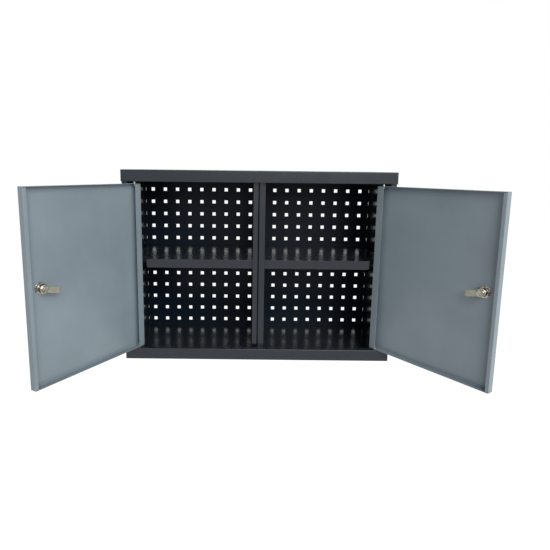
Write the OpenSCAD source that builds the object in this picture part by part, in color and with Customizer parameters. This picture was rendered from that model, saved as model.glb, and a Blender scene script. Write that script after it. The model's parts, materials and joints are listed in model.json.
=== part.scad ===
// Wall tool cabinet in folded sheet steel, with two pan doors on pin hinges,
// a perforated back, a central divider and two shelves.
// X is to the right, Y to the wall, Z up. The origin is the middle of the underside.

/* [Cabinet] */
// Overall width
cab_w = 700; // [560:1:900]
// Overall depth
cab_d = 290; // [230:1:380]
// Overall height
cab_h = 500; // [440:1:640]
// Thickness of all the folded sheet
sheet = 1; // [0.8:0.1:1.5]
// Height of the front, side edges of roof and floor
fascia_h = 30; // [26:0.5:40]
// Depth of the folded ledge that carries the hinge pins
ledge_d = 20; // [17:0.5:26]
// Height of the rear edges of roof and floor
rear_edge_h = 12; // [8:0.5:15]

/* [Side panels] */
// Set-back of the front posts behind the fascia
post_setback = 5; // [4.5:0.1:6]
// Depth of the folded edge behind each post
post_lip = 20; // [8:0.5:25]
// Least gap between a post and the swinging door corner
swing_gap = 1.2; // [0.8:0.1:2.5]

/* [Back panel] */
// Side of each square hole
hole_size = 10; // [8:0.5:12]
// Spacing of the holes
hole_pitch = 38; // [34:0.5:40]
// Height of the lowest row above the floor's underside
first_row_z = 21.5; // [21:0.5:30]
// Sideways shift of the whole hole field
field_shift = -3; // [-5:0.5:5]
// Width of the relief slots at the side edges
edge_slot_w = 1.5; // [1:0.1:3]
// Diameter of the two wall fixing holes
fixing_d = 9; // [6:0.5:12]
// Spacing of the wall fixing holes
fixing_spacing = 600; // [300:10:660]
// Distance of the fixing holes below the roof
fixing_drop = 25; // [20:0.5:28]

/* [Divider] */
// Set-back of the divider's front behind the fascia
divider_setback = 22.5; // [21.5:0.1:24]
// Front width of the left half
left_flange_w = 13; // [10:0.1:16]
// Front width of the right half
right_flange_w = 16; // [10:0.1:18]
// Half of the seam between the two halves
seam_half = 1; // [0.9:0.1:1.5]
// Height at which the front flanges start
divider_foot_z = 36.5; // [32:0.5:50]
// Width of the divider's rear, top and bottom tabs
divider_tab = 9; // [6:0.5:9.5]

/* [Shelves] */
// Height of the shelves' top face
shelf_z = 266; // [180:0.5:340]
// Height of the shelves' front edge
shelf_front_h = 23; // [15:0.5:30]
// Set-back of the shelves behind the fascia
shelf_setback = 31; // [30:0.1:45]
// Height of the shelves' side and rear edges
shelf_edge_h = 15; // [10:0.5:20]
// Width of the fold under the front edge
shelf_hem = 10; // [5:0.5:12]
// Radius of the lower outer corner of a shelf's front edge
shelf_corner_r = 5; // [1:0.5:8]
// Gap between a shelf and the side panel
shelf_side_gap = 6.5; // [3:0.5:9]
// Width of the cut-out at each outer front corner
notch_w = 46; // [30:1:60]
// Depth of the cut-out at each outer front corner
notch_d = 30; // [15:1:40]
// Leg of the shelf brackets
bracket_leg = 16; // [12:0.5:22]
// Length of the shelf brackets
bracket_len = 190; // [120:5:200]
// Rivet shank diameter
rivet_d = 4; // [3:0.5:5]

/* [Doors] */
// Distance of the hinge axis from the outside of the cabinet
hinge_inset = 32.5; // [30:0.5:40]
// Distance of the hinge axis behind the fascia
hinge_setback = 12; // [11:0.5:13]
// Depth of the door pans
door_t = 16; // [14:0.5:18]
// Length of door beyond the hinge axis on the hinge side
door_tail = 13.5; // [11:0.5:14]
// Half of the gap between the closed doors
centre_gap = 1.5; // [1:0.1:3]
// Gap above the doors
door_gap_top = 5; // [3:0.5:8]
// Gap below the doors
door_gap_bottom = 2; // [1.5:0.5:4]
// Width of the folded lip at the free edge
free_lip = 8; // [5:0.5:12]
// Width of the folded lip at the hinge edge
hinge_lip = 19; // [17:0.5:24]
// How far the left door stands open, in degrees
left_open = 121; // [0:0.5:130]
// How far the right door stands open, in degrees
right_open = 125.5; // [0:0.5:130]

/* [Hinge pins] */
// Pin diameter
pin_d = 6; // [4:0.5:8]
// Radial clearance of the pins in the doors
pin_clear = 0.05; // [0.02:0.01:0.1]
// How far a pin reaches into its door
pin_reach = 7; // [4:0.5:10]
// Pin head diameter
pin_head_d = 10; // [7.5:0.5:12]
// Pin head thickness
pin_head_t = 2.5; // [1.5:0.5:4]
// Outside diameter of the washers under the doors
washer_d = 14; // [9:0.5:15]

/* [Locks] */
// Distance of a lock from the free edge of its door
lock_inset = 36; // [34:0.5:42]
// Barrel diameter
barrel_d = 18; // [15:0.5:20]
// Barrel length behind the door's outer face
barrel_len = 21; // [18:0.1:21]
// Diameter of the round head on the outside
bezel_d = 22; // [21:0.5:30]
// Thickness of the round head
bezel_t = 2; // [1:0.5:3]
// Nut size across its flats
nut_af = 22; // [20:0.5:26]
// Nut thickness
nut_t = 6; // [4:0.5:8]
// Lock washer diameter
lock_washer_d = 26; // [25:0.5:32]
// Lock washer thickness
lock_washer_t = 1.5; // [0.8:0.1:2]
// Plug diameter
plug_d = 12; // [10:0.5:13]
// Radial clearance of the plug in the barrel
plug_clear = 0.05; // [0.02:0.01:0.1]
// Reach of the tongue from the lock's axis
tongue_len = 34; // [28:0.5:34.5]
// Width of the tongue
tongue_w = 14; // [12:0.5:16]
// Thickness of the tongue
tongue_t = 2; // [1.5:0.1:2.5]
// Gap between the barrel and the tongue
tongue_gap = 0.5; // [0.2:0.1:1]
// Angle by which the open tongue hangs below the horizontal, in degrees
tongue_droop = 12; // [0:1:20]
// Side of the square that drives the tongue
square_side = 7; // [6:0.5:8]
// Thickness of the head of the tongue's screw
screw_head_t = 2.3; // [1.8:0.1:2.3]
// Width across the flats of that head
screw_af = 13; // [11:0.5:14]

/* [Hidden] */
$fn = 48;
eps = 0.01;
// How far a cut runs past the face that it opens
past = sheet;

front_y = -cab_d / 2;
rear_y = cab_d / 2;
// The back panel lies inside the rear edges of roof and floor
back_y = rear_y - 2 * sheet;
// Outer and inner face of a side panel
side_out = cab_w / 2 - sheet;
side_in = side_out - sheet;
// Columns and rows of holes that the back panel has room for
hole_cols = floor((2 * side_in - hole_size) / hole_pitch);
hole_rows = floor((cab_h - fascia_h - hole_size / 2 - first_row_z) / hole_pitch) + 1;

hinge_x = cab_w / 2 - hinge_inset;
hinge_y = front_y + hinge_setback;
half_t = door_t / 2;
door_len = hinge_x - centre_gap;
door_z0 = fascia_h + door_gap_bottom;
door_z1 = cab_h - fascia_h - door_gap_top;
swing_r = sqrt(door_tail * door_tail + half_t * half_t);
post_x = hinge_x + swing_r + swing_gap;
post_y = front_y + post_setback;

// Height of the chamfer at a pin's tip
pin_tip = 0.6;

divider_y = front_y + divider_setback;
shelf_y = front_y + shelf_setback;
shelf_out = side_in - shelf_side_gap;
// Clear space between a shelf and the divider's web
shelf_inner_gap = 0.5;
shelf_rear_gap = 0.5;
bracket_top = shelf_z - shelf_edge_h;
bracket_h = 14;
bracket_y0 = (back_y + shelf_y + notch_d) / 2 - bracket_len / 2;
// Rivets sit this far from the bracket's ends, and this far below its top
rivet_inset = 25;
rivet_drop = 7;
rivet_head_t = 1;
rivet_head_d = rivet_d * 1.8;

lock_l = door_len - lock_inset;
lock_z = (door_z0 + door_z1) / 2;
barrel_end = barrel_len - half_t;
// Where the tongue starts, and where its screw's head lies
tongue_z = barrel_end + tongue_gap;
screw_z = tongue_z + tongue_t;
screw_r = 2;
screw_len = 11;
// Slack of the plain washers around their pins and under the doors
washer_gap = 0.1;
plug_head_d = plug_d + 3;
plug_head_t = 1.5;

body_grey = [0.235, 0.25, 0.258];
inside_grey = [0.2, 0.215, 0.23];
door_grey = [0.47, 0.52, 0.55];
zinc = [0.72, 0.73, 0.74];
chrome = [0.82, 0.83, 0.85];
olive_zinc = [0.6, 0.58, 0.48];

// Block from one corner to the other
module span(a, b) {
    translate(a) cube(b - a);
}

// Places a door's own frame on its hinge axis: X along the door from the axis to the free
// edge, Y from the outer to the inner face, Z up. Side is -1 on the left, 1 on the right.
module on_hinge(side, opening) {
    if (side < 0) {
        translate([-hinge_x, hinge_y, 0]) rotate([0, 0, -opening]) children();
    } else {
        translate([hinge_x, hinge_y, 0]) rotate([0, 0, opening]) mirror([1, 0, 0]) children();
    }
}

// Places the lock's own frame in a door: Z along the lock's axis from outside to inside,
// with its zero on the mid-plane of the pan.
module on_lock(side, opening) {
    on_hinge(side, opening) translate([lock_l, 0, lock_z]) rotate([-90, 0, 0]) children();
}

// Roof or floor, drawn as a floor: sheet at the bottom with upturned edges and the pin ledge
module tray() {
    difference() {
        union() {
            span([-cab_w / 2, front_y, 0], [cab_w / 2, rear_y, sheet]);
            span([-cab_w / 2, front_y, 0], [cab_w / 2, front_y + sheet, fascia_h]);
            span([-side_in, front_y, fascia_h - sheet], [side_in, front_y + ledge_d, fascia_h]);
            span([-cab_w / 2, rear_y - sheet, 0], [cab_w / 2, rear_y, rear_edge_h]);
            for (side = [-1, 1]) {
                x0 = side < 0 ? -cab_w / 2 : side_out;
                span([x0, front_y, 0], [x0 + sheet, rear_y, fascia_h]);
            }
        }
        for (side = [-1, 1]) {
            translate([side * hinge_x, hinge_y, fascia_h - 2 * sheet]) cylinder(d = pin_d, h = 3 * sheet);
        }
    }
}

module floor_panel() {
    color(body_grey) tray();
}

module roof_panel() {
    color(body_grey) translate([0, 0, cab_h]) mirror([0, 0, 1]) tray();
}

// Side panel drawn on the right: wall, front post and the lip behind it, rivet holes
module side_panel() {
    difference() {
        union() {
            span([side_in, post_y, sheet], [side_out, back_y, cab_h - sheet]);
            span([post_x, post_y, fascia_h], [side_out, post_y + sheet, cab_h - fascia_h]);
            span([post_x, post_y, fascia_h], [post_x + sheet, post_y + post_lip, cab_h - fascia_h]);
        }
        rivet_places() translate([side_in - sheet, 0, 0]) rotate([0, 90, 0]) cylinder(d = rivet_d, h = 3 * sheet);
    }
}

module right_side_panel() {
    color(body_grey) side_panel();
}

module left_side_panel() {
    color(body_grey) mirror([1, 0, 0]) side_panel();
}

module back_panel() {
    color(inside_grey) difference() {
        span([-side_out, back_y, sheet], [side_out, back_y + sheet, cab_h - sheet]);
        for (col = [0 : hole_cols - 1], row = [0 : hole_rows - 1]) {
            x = field_shift + (col - (hole_cols - 1) / 2) * hole_pitch;
            z = first_row_z + row * hole_pitch;
            translate([x - hole_size / 2, back_y - sheet, z - hole_size / 2]) cube([hole_size, 3 * sheet, hole_size]);
        }
        for (side = [-1, 1], row = [0 : hole_rows - 1]) {
            x0 = side < 0 ? -side_in : side_in - edge_slot_w;
            z = first_row_z + row * hole_pitch;
            translate([x0, back_y - sheet, z - hole_size / 2]) cube([edge_slot_w, 3 * sheet, hole_size]);
        }
        for (side = [-1, 1]) {
            translate([side * fixing_spacing / 2, back_y - sheet, cab_h - fixing_drop]) rotate([-90, 0, 0])
                cylinder(d = fixing_d, h = 3 * sheet);
        }
    }
}

// Half of the divider, drawn on the right of the seam
module divider_half(flange_w) {
    web_in = seam_half;
    web_out = seam_half + sheet;
    difference() {
        union() {
            span([web_in, divider_y, sheet], [web_out, back_y, cab_h - sheet]);
            span([web_in, divider_y, divider_foot_z], [web_in + flange_w, divider_y + sheet, cab_h - sheet]);
            span([web_in, back_y - sheet, sheet], [web_in + divider_tab, back_y, cab_h - sheet]);
            span([web_in, divider_y + sheet, sheet], [web_in + divider_tab, back_y, 2 * sheet]);
            span([web_in, divider_y + sheet, cab_h - 2 * sheet], [web_in + divider_tab, back_y, cab_h - sheet]);
        }
        rivet_places() rotate([0, 90, 0]) cylinder(d = rivet_d, h = web_out + sheet);
    }
}

module divider_right_half() {
    color(body_grey) divider_half(right_flange_w);
}

module divider_left_half() {
    color(body_grey) mirror([1, 0, 0]) divider_half(left_flange_w);
}

// Shelf drawn on the right: pan with a folded front edge and a cut-out outer corner
module shelf() {
    x0 = seam_half + sheet + shelf_inner_gap;
    x1 = shelf_out;
    notch_x = x1 - notch_w;
    y1 = back_y - sheet - shelf_rear_gap;
    z0 = shelf_z - shelf_edge_h;
    zf = shelf_z - shelf_front_h;
    union() {
        span([x0, shelf_y, shelf_z - sheet], [notch_x, y1, shelf_z]);
        span([notch_x - eps, shelf_y + notch_d, shelf_z - sheet], [x1, y1, shelf_z]);
        span([x0, shelf_y, zf], [notch_x - shelf_corner_r, shelf_y + sheet, shelf_z]);
        span([notch_x - shelf_corner_r - eps, shelf_y, zf + shelf_corner_r], [notch_x, shelf_y + sheet, shelf_z]);
        translate([notch_x - shelf_corner_r, shelf_y, zf + shelf_corner_r]) rotate([-90, 0, 0])
            cylinder(r = shelf_corner_r, h = sheet);
        span([x0, shelf_y, zf], [notch_x - shelf_corner_r, shelf_y + shelf_hem, zf + sheet]);
        span([notch_x - sheet, shelf_y, z0], [notch_x, shelf_y + notch_d + sheet, shelf_z]);
        span([notch_x - sheet, shelf_y + notch_d, z0], [x1, shelf_y + notch_d + sheet, shelf_z]);
        span([x1 - sheet, shelf_y + notch_d, z0], [x1, y1, shelf_z]);
        span([x0, shelf_y, z0], [x0 + sheet, y1, shelf_z]);
        span([x0, y1 - sheet, z0], [x1, y1, shelf_z]);
    }
}

module right_shelf() {
    color(body_grey) shelf();
}

module left_shelf() {
    color(body_grey) mirror([1, 0, 0]) shelf();
}

// Puts its children at the two rivet places of a bracket, at X = 0
module rivet_places() {
    for (y = [bracket_y0 + rivet_inset, bracket_y0 + bracket_len - rivet_inset]) {
        translate([0, y, bracket_top - rivet_drop]) children();
    }
}

// Angle bracket against a face at X = face, its ledge towards X = face + dir * leg
module bracket(face, dir) {
    x_leg = face + dir * sheet;
    x_tip = face + dir * bracket_leg;
    y1 = bracket_y0 + bracket_len;
    difference() {
        union() {
            span([min(face, x_leg), bracket_y0, bracket_top - bracket_h], [max(face, x_leg), y1, bracket_top]);
            span([min(face, x_tip), bracket_y0, bracket_top - sheet], [max(face, x_tip), y1, bracket_top]);
        }
        rivet_places() translate([min(face, x_leg) - sheet, 0, 0]) rotate([0, 90, 0]) cylinder(d = rivet_d, h = 3 * sheet);
    }
}

module right_wall_bracket() {
    color(body_grey) bracket(side_in, -1);
}

module left_wall_bracket() {
    color(body_grey) bracket(-side_in, 1);
}

module right_divider_bracket() {
    color(body_grey) bracket(seam_half + sheet, 1);
}

module left_divider_bracket() {
    color(body_grey) bracket(-seam_half - sheet, -1);
}

// Rivet along X from the face at x0 through both sheets, heads outside them
module rivet(x0, tail_t) {
    rotate([0, 90, 0]) {
        translate([0, 0, x0 - rivet_head_t]) cylinder(d = rivet_head_d, h = rivet_head_t);
        translate([0, 0, x0 - eps]) cylinder(d = rivet_d, h = 2 * sheet + 2 * eps);
        translate([0, 0, x0 + 2 * sheet]) cylinder(d = rivet_head_d, h = tail_t);
    }
}

// Rivets of one side: through the side panel, and through the divider's web
module rivet_pair() {
    seam_tail_t = seam_half - 0.1;
    rivet_places() {
        rivet(side_in - sheet, rivet_head_t);
        mirror([1, 0, 0]) rivet(-seam_half - 2 * sheet, seam_tail_t);
    }
}

module bracket_rivets() {
    color(zinc) {
        rivet_pair();
        mirror([1, 0, 0]) rivet_pair();
    }
}

// Lower hinge pin with its head under the ledge; the upper one is its mirror image
module hinge_pin() {
    top = door_z0 + pin_reach;
    translate([0, 0, fascia_h - sheet - pin_head_t]) cylinder(d = pin_head_d, h = pin_head_t);
    translate([0, 0, fascia_h - sheet - eps]) cylinder(d = pin_d, h = top - pin_tip - fascia_h + sheet + eps);
    translate([0, 0, top - pin_tip]) cylinder(d1 = pin_d, d2 = pin_d - 2 * pin_tip, h = pin_tip);
}

module upper_pin() {
    bottom = door_z1 - pin_reach;
    ledge_top = cab_h - fascia_h + sheet;
    translate([0, 0, ledge_top]) cylinder(d = pin_head_d, h = pin_head_t);
    translate([0, 0, bottom + pin_tip]) cylinder(d = pin_d, h = ledge_top - bottom - pin_tip + eps);
    translate([0, 0, bottom]) cylinder(d1 = pin_d - 2 * pin_tip, d2 = pin_d, h = pin_tip);
}

module lower_left_hinge_pin() {
    color(zinc) translate([-hinge_x, hinge_y, 0]) hinge_pin();
}

module lower_right_hinge_pin() {
    color(zinc) translate([hinge_x, hinge_y, 0]) hinge_pin();
}

module upper_left_hinge_pin() {
    color(zinc) translate([-hinge_x, hinge_y, 0]) upper_pin();
}

module upper_right_hinge_pin() {
    color(zinc) translate([hinge_x, hinge_y, 0]) upper_pin();
}

module hinge_washer() {
    translate([0, 0, fascia_h]) difference() {
        cylinder(d = washer_d, h = door_gap_bottom - washer_gap);
        translate([0, 0, -past]) cylinder(r = pin_d / 2 + washer_gap, h = door_gap_bottom + 2 * past);
    }
}

module left_hinge_washer() {
    color(zinc) translate([-hinge_x, hinge_y, 0]) hinge_washer();
}

module right_hinge_washer() {
    color(zinc) translate([hinge_x, hinge_y, 0]) hinge_washer();
}

// Door pan in its own frame, with lips all round, pin holes and the lock's hole
module door_pan() {
    x0 = -door_tail;
    difference() {
        span([x0, -half_t, door_z0], [door_len, half_t, door_z1]);
        span([x0 + sheet, -half_t + sheet, door_z0 + sheet], [door_len - sheet, half_t - sheet, door_z1 - sheet]);
        span([x0 + hinge_lip, 0, door_z0 + sheet], [door_len - free_lip, half_t + past, door_z1 - sheet]);
        translate([0, 0, door_z0 - sheet]) cylinder(r = pin_d / 2 + pin_clear, h = 3 * sheet);
        translate([0, 0, door_z1 - 2 * sheet]) cylinder(r = pin_d / 2 + pin_clear, h = 3 * sheet);
        translate([lock_l, -half_t - past, lock_z]) rotate([-90, 0, 0]) cylinder(d = barrel_d, h = sheet + 2 * past);
    }
}

module left_door() {
    color(door_grey) on_hinge(-1, left_open) door_pan();
}

module right_door() {
    color(door_grey) on_hinge(1, right_open) door_pan();
}

// Lock pieces, each along Z from the outside in
module lock_barrel() {
    start = -half_t - bezel_t;
    difference() {
        union() {
            translate([0, 0, start]) cylinder(d = bezel_d, h = bezel_t);
            translate([0, 0, -half_t - eps]) cylinder(d = barrel_d, h = barrel_len + eps);
        }
        translate([0, 0, start - past]) cylinder(r = plug_d / 2 + plug_clear, h = barrel_len + bezel_t + 2 * past);
        translate([0, 0, start - past]) cylinder(r = plug_head_d / 2 + plug_clear, h = plug_head_t + plug_clear + past);
    }
}

module lock_washer() {
    translate([0, 0, sheet - half_t]) difference() {
        cylinder(d = lock_washer_d, h = lock_washer_t);
        translate([0, 0, -past]) cylinder(d = barrel_d, h = lock_washer_t + 2 * past);
    }
}

module lock_nut() {
    translate([0, 0, sheet - half_t + lock_washer_t]) difference() {
        rotate([0, 0, 30]) cylinder(d = nut_af / cos(30), h = nut_t, $fn = 6);
        translate([0, 0, -past]) cylinder(d = barrel_d, h = nut_t + 2 * past);
    }
}

module lock_plug() {
    key_w = 1.6;
    key_h = 8;
    key_deep = 7;
    start = -half_t - bezel_t;
    difference() {
        union() {
            translate([0, 0, start]) cylinder(d = plug_head_d, h = plug_head_t);
            translate([0, 0, start]) cylinder(d = plug_d, h = tongue_z - start);
            translate([-square_side / 2, -square_side / 2, tongue_z - eps]) cube([square_side, square_side, tongue_t + eps]);
        }
        translate([-key_w / 2, -key_h / 2, start - past]) cube([key_w, key_h, key_deep + past]);
        translate([0, 0, screw_z - screw_len]) cylinder(r = screw_r, h = screw_len + past);
    }
}

// The tongue points to the hinge side, with a round end over the plug and eased corners at its tip
module lock_tongue() {
    half_w = tongue_w / 2;
    hub_r = half_w + 1;
    tip_r = 3.5;
    translate([0, 0, tongue_z]) difference() {
        union() {
            cylinder(r = hub_r, h = tongue_t);
            rotate([0, 0, -tongue_droop]) {
                translate([tip_r - tongue_len, -half_w, 0]) cube([tongue_len - tip_r, tongue_w, tongue_t]);
                translate([-tongue_len, tip_r - half_w, 0]) cube([tip_r + eps, tongue_w - 2 * tip_r, tongue_t]);
                for (side = [-1, 1]) {
                    translate([tip_r - tongue_len, side * (half_w - tip_r), 0]) cylinder(r = tip_r, h = tongue_t);
                }
            }
        }
        translate([-square_side / 2, -square_side / 2, -past]) cube([square_side, square_side, tongue_t + 2 * past]);
    }
}

// Screw with a low hexagon head
module tongue_screw() {
    translate([0, 0, screw_z - screw_len]) cylinder(r = screw_r, h = screw_len + eps);
    translate([0, 0, screw_z]) rotate([0, 0, 30]) cylinder(d = screw_af / cos(30), h = screw_head_t, $fn = 6);
}

module left_lock_barrel() {
    color(chrome) on_lock(-1, left_open) lock_barrel();
}

module left_lock_washer() {
    color(chrome) on_lock(-1, left_open) lock_washer();
}

module left_lock_nut() {
    color(chrome) on_lock(-1, left_open) lock_nut();
}

module left_lock_plug() {
    color(zinc) on_lock(-1, left_open) lock_plug();
}

module left_lock_tongue() {
    color(olive_zinc) on_lock(-1, left_open) lock_tongue();
}

module left_tongue_screw() {
    color(zinc) on_lock(-1, left_open) tongue_screw();
}

module right_lock_barrel() {
    color(chrome) on_lock(1, right_open) lock_barrel();
}

module right_lock_washer() {
    color(chrome) on_lock(1, right_open) lock_washer();
}

module right_lock_nut() {
    color(chrome) on_lock(1, right_open) lock_nut();
}

module right_lock_plug() {
    color(zinc) on_lock(1, right_open) lock_plug();
}

module right_lock_tongue() {
    color(olive_zinc) on_lock(1, right_open) lock_tongue();
}

module right_tongue_screw() {
    color(zinc) on_lock(1, right_open) tongue_screw();
}

roof_panel();
floor_panel();
left_side_panel();
right_side_panel();
back_panel();
divider_left_half();
divider_right_half();
left_shelf();
right_shelf();
left_wall_bracket();
left_divider_bracket();
right_divider_bracket();
right_wall_bracket();
bracket_rivets();
upper_left_hinge_pin();
lower_left_hinge_pin();
upper_right_hinge_pin();
lower_right_hinge_pin();
left_hinge_washer();
right_hinge_washer();
left_door();
left_lock_barrel();
left_lock_washer();
left_lock_nut();
left_lock_plug();
left_lock_tongue();
left_tongue_screw();
right_door();
right_lock_barrel();
right_lock_washer();
right_lock_nut();
right_lock_plug();
right_lock_tongue();
right_tongue_screw();
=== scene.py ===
import json
import math

import bmesh
import bpy
from mathutils import Matrix, Vector


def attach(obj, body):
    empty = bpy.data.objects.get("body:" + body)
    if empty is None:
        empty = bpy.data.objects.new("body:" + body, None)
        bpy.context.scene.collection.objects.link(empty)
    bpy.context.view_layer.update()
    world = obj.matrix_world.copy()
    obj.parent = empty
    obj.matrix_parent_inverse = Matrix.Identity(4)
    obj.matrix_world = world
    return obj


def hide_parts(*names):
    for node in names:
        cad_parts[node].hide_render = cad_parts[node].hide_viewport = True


# Wall tool cabinet in folded sheet, doors open. Metres, X right, Y to the wall, Z up.
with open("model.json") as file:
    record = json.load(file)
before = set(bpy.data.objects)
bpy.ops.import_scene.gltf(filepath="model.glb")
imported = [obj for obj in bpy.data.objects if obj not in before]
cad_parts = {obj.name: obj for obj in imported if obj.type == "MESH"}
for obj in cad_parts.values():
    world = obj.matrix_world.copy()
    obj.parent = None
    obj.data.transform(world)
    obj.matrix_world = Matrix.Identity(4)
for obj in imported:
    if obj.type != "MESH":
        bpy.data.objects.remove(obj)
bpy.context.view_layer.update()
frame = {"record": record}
scene = bpy.context.scene
bodyOf = {node: body for body, nodes in frame["record"]["behaviour"]["bodies"].items() for node in nodes}
slotOf = {part["node"]: part["material_slot"] for part in frame["record"]["subparts"]}

# Camera, fitted to the photograph
camera = {
    "place": (-0.02257, -1.35594, 0.50344),
    "pitch": 0.16448,
    "yaw": 0.00214,
    "roll": 0.01167,
    "lens": 31.196,
    "sensor": 36,
    "shift": (0.04417, -0.04825),
}


def addCamera():
    c, s = math.cos, math.sin
    p, y, r = camera["pitch"], camera["yaw"], camera["roll"]
    turnYaw = Matrix(((c(y), -s(y), 0), (s(y), c(y), 0), (0, 0, 1)))
    base = Matrix(((1, 0, 0), (0, 0, -1), (0, 1, 0)))
    turnPitch = Matrix(((1, 0, 0), (0, c(p), -s(p)), (0, s(p), c(p))))
    turnRoll = Matrix(((c(r), -s(r), 0), (s(r), c(r), 0), (0, 0, 1)))
    toCamera = turnRoll @ turnPitch @ base @ turnYaw
    facing = toCamera.transposed() @ Matrix(((1, 0, 0), (0, -1, 0), (0, 0, -1)))
    data = bpy.data.cameras.new("photoCamera")
    data.lens = camera["lens"]
    data.sensor_width = camera["sensor"]
    data.shift_x, data.shift_y = camera["shift"]
    cam = bpy.data.objects.new("photoCamera", data)
    cam.matrix_world = Matrix.Translation(camera["place"]) @ facing.to_4x4()
    scene.collection.objects.link(cam)
    scene.camera = cam


addCamera()
print("camera set")

# Light and surroundings: a large soft lamp from above, in front and a little to the right,
# and a small weak one low at the right, for the upright edges of the doors
studio = {
    "worldLevel": 0.40,
    "worldTint": (0.96, 0.98, 1.0),
    "keyPower": 108.0,
    "keyPlace": (0.98, -2.98, 1.84),
    "keyAim": (0.0, -0.145, 0.25),
    "keySize": (2.6, 2.0),
    "keyTint": (1.0, 0.99, 0.97),
    "sidePower": 15.0,
    "sidePlace": (2.9, -1.85, 0.85),
    "sideAim": (-0.45, -0.36, 0.35),
    "sideSize": (0.5, 0.9),
    "sideTint": (1, 1, 1),
    "floorHeight": -0.9,
    "floorReach": 12.0,
    "floorColour": (0.72, 0.72, 0.72),
    "floorFaint": (0.12, 0.12, 0.12),
    "floorGlow": 0.98,
}


def backdropRay(nodes, links):
    # One for the rays that see the plain white backdrop, nought for the others
    path = nodes.new("ShaderNodeLightPath")
    seen = path.outputs["Is Camera Ray"]
    for ray in ("Is Glossy Ray", "Is Transmission Ray"):
        either = nodes.new("ShaderNodeMath")
        either.operation = "MAXIMUM"
        links.new(seen, either.inputs[0])
        links.new(path.outputs[ray], either.inputs[1])
        seen = either.outputs[0]
    return seen


def addWorld():
    world = bpy.data.worlds.new("whiteStudio")
    scene.world = world
    world.use_nodes = True
    nodes, links = world.node_tree.nodes, world.node_tree.links
    nodes.clear()
    light = nodes.new("ShaderNodeBackground")
    light.inputs["Color"].default_value = (*studio["worldTint"], 1)
    light.inputs["Strength"].default_value = studio["worldLevel"]
    white = nodes.new("ShaderNodeBackground")
    white.inputs["Color"].default_value = (1, 1, 1, 1)
    mix = nodes.new("ShaderNodeMixShader")
    out = nodes.new("ShaderNodeOutputWorld")
    links.new(backdropRay(nodes, links), mix.inputs[0])
    links.new(light.outputs[0], mix.inputs[1])
    links.new(white.outputs[0], mix.inputs[2])
    links.new(mix.outputs[0], out.inputs["Surface"])


def addLamp(word):
    # A soft rectangular lamp, from the values of the studio that start with this word
    data = bpy.data.lights.new(word + "Lamp", "AREA")
    data.shape = "RECTANGLE"
    data.size, data.size_y = studio[word + "Size"]
    data.energy = studio[word + "Power"]
    data.color = studio[word + "Tint"]
    place, aim = Vector(studio[word + "Place"]), Vector(studio[word + "Aim"])
    lamp = bpy.data.objects.new(word + "Lamp", data)
    lamp.location = place
    lamp.rotation_euler = (aim - place).to_track_quat("-Z", "Y").to_euler()
    lamp.visible_camera = False
    scene.collection.objects.link(lamp)


def addFloor():
    # Pale floor that is seen white and still takes the cabinet's shadow
    mesh = bpy.data.meshes.new("studioFloor")
    reach, height = studio["floorReach"], studio["floorHeight"]
    corners = [(x * reach, y * reach, height) for x, y in ((-1, -1), (1, -1), (1, 1), (-1, 1))]
    mesh.from_pydata(corners, [], [(0, 1, 2, 3)])
    mat = bpy.data.materials.new("paleFloor")
    mat.use_nodes = True
    nodes, links = mat.node_tree.nodes, mat.node_tree.links
    nodes.clear()
    plain = nodes.new("ShaderNodeBsdfDiffuse")
    plain.inputs["Color"].default_value = (*studio["floorColour"], 1)
    faint = nodes.new("ShaderNodeBsdfDiffuse")
    faint.inputs["Color"].default_value = (*studio["floorFaint"], 1)
    glow = nodes.new("ShaderNodeEmission")
    glow.inputs["Strength"].default_value = studio["floorGlow"]
    both = nodes.new("ShaderNodeAddShader")
    mix = nodes.new("ShaderNodeMixShader")
    out = nodes.new("ShaderNodeOutputMaterial")
    links.new(faint.outputs[0], both.inputs[0])
    links.new(glow.outputs[0], both.inputs[1])
    links.new(backdropRay(nodes, links), mix.inputs[0])
    links.new(plain.outputs[0], mix.inputs[1])
    links.new(both.outputs[0], mix.inputs[2])
    links.new(mix.outputs[0], out.inputs["Surface"])
    mesh.materials.append(mat)
    floor = bpy.data.objects.new("studioFloor", mesh)
    scene.collection.objects.link(floor)


addWorld()
addLamp("key")
addLamp("side")
addFloor()
scene.view_settings.view_transform = "Standard"
print("studio lit")

# Finishes: sprayed paints, one of them darkened as painted shade inside the cabinet, and plated metals with
# the brownish bloom that the plating shows
finishes = {
    "body_grey": {
        "colour": (0.0110, 0.0165, 0.0235),
        "rough": 0.21,
        "specular": 0.42,
        "peel": 0.00004,
        "peelSize": 0.0024,
    },
    # Back panel: the same paint as the body, made darker and bluer as painted shade of the deep interior
    "inside_grey": {
        "colour": (0.0045, 0.0095, 0.0180),
        "rough": 0.34,
        "specular": 0.11,
        "peel": 0.00012,
        "peelSize": 0.0016,
    },
    "door_grey": {
        "colour": (0.196, 0.242, 0.274),
        "rough": 0.22,
        "specular": 0.45,
        "peel": 0.00020,
        "peelSize": 0.0022,
    },
    "zinc_steel": {
        "colour": (0.52, 0.50, 0.44),
        "bloom": (0.20, 0.17, 0.12),
        "patch": 0.006,
        "rough": 0.30,
        "grain": 0.0012,
        "metal": 1.0,
    },
    "lock_chrome": {
        "colour": (0.60, 0.60, 0.57),
        "bloom": (0.15, 0.11, 0.065),
        "patch": 0.0055,
        "rough": 0.17,
        "grain": 0.0008,
        "metal": 1.0,
    },
    "tongue_zinc": {
        "colour": (0.36, 0.355, 0.285),
        "bloom": (0.30, 0.285, 0.225),
        "patch": 0.008,
        "rough": 0.36,
        "grain": 0.0016,
        "metal": 0.5,
    },
}
paint = {
    "cloudSize": 0.11,
    "cloud": (0.93, 1.07),
    "wipeSize": 0.035,
    "wipeDetail": 6.0,
    "wipe": (0.88, 1.14),
    "peelDetail": 2.0,
    "peelStrength": 0.55,
}
plating = {"grainDetail": 4.0, "gloss": (0.75, 1.3), "bump": 0.00003, "bumpStrength": 0.4}
noiseBand = (0.3, 0.7)  # where most of the noise's values lie


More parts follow.
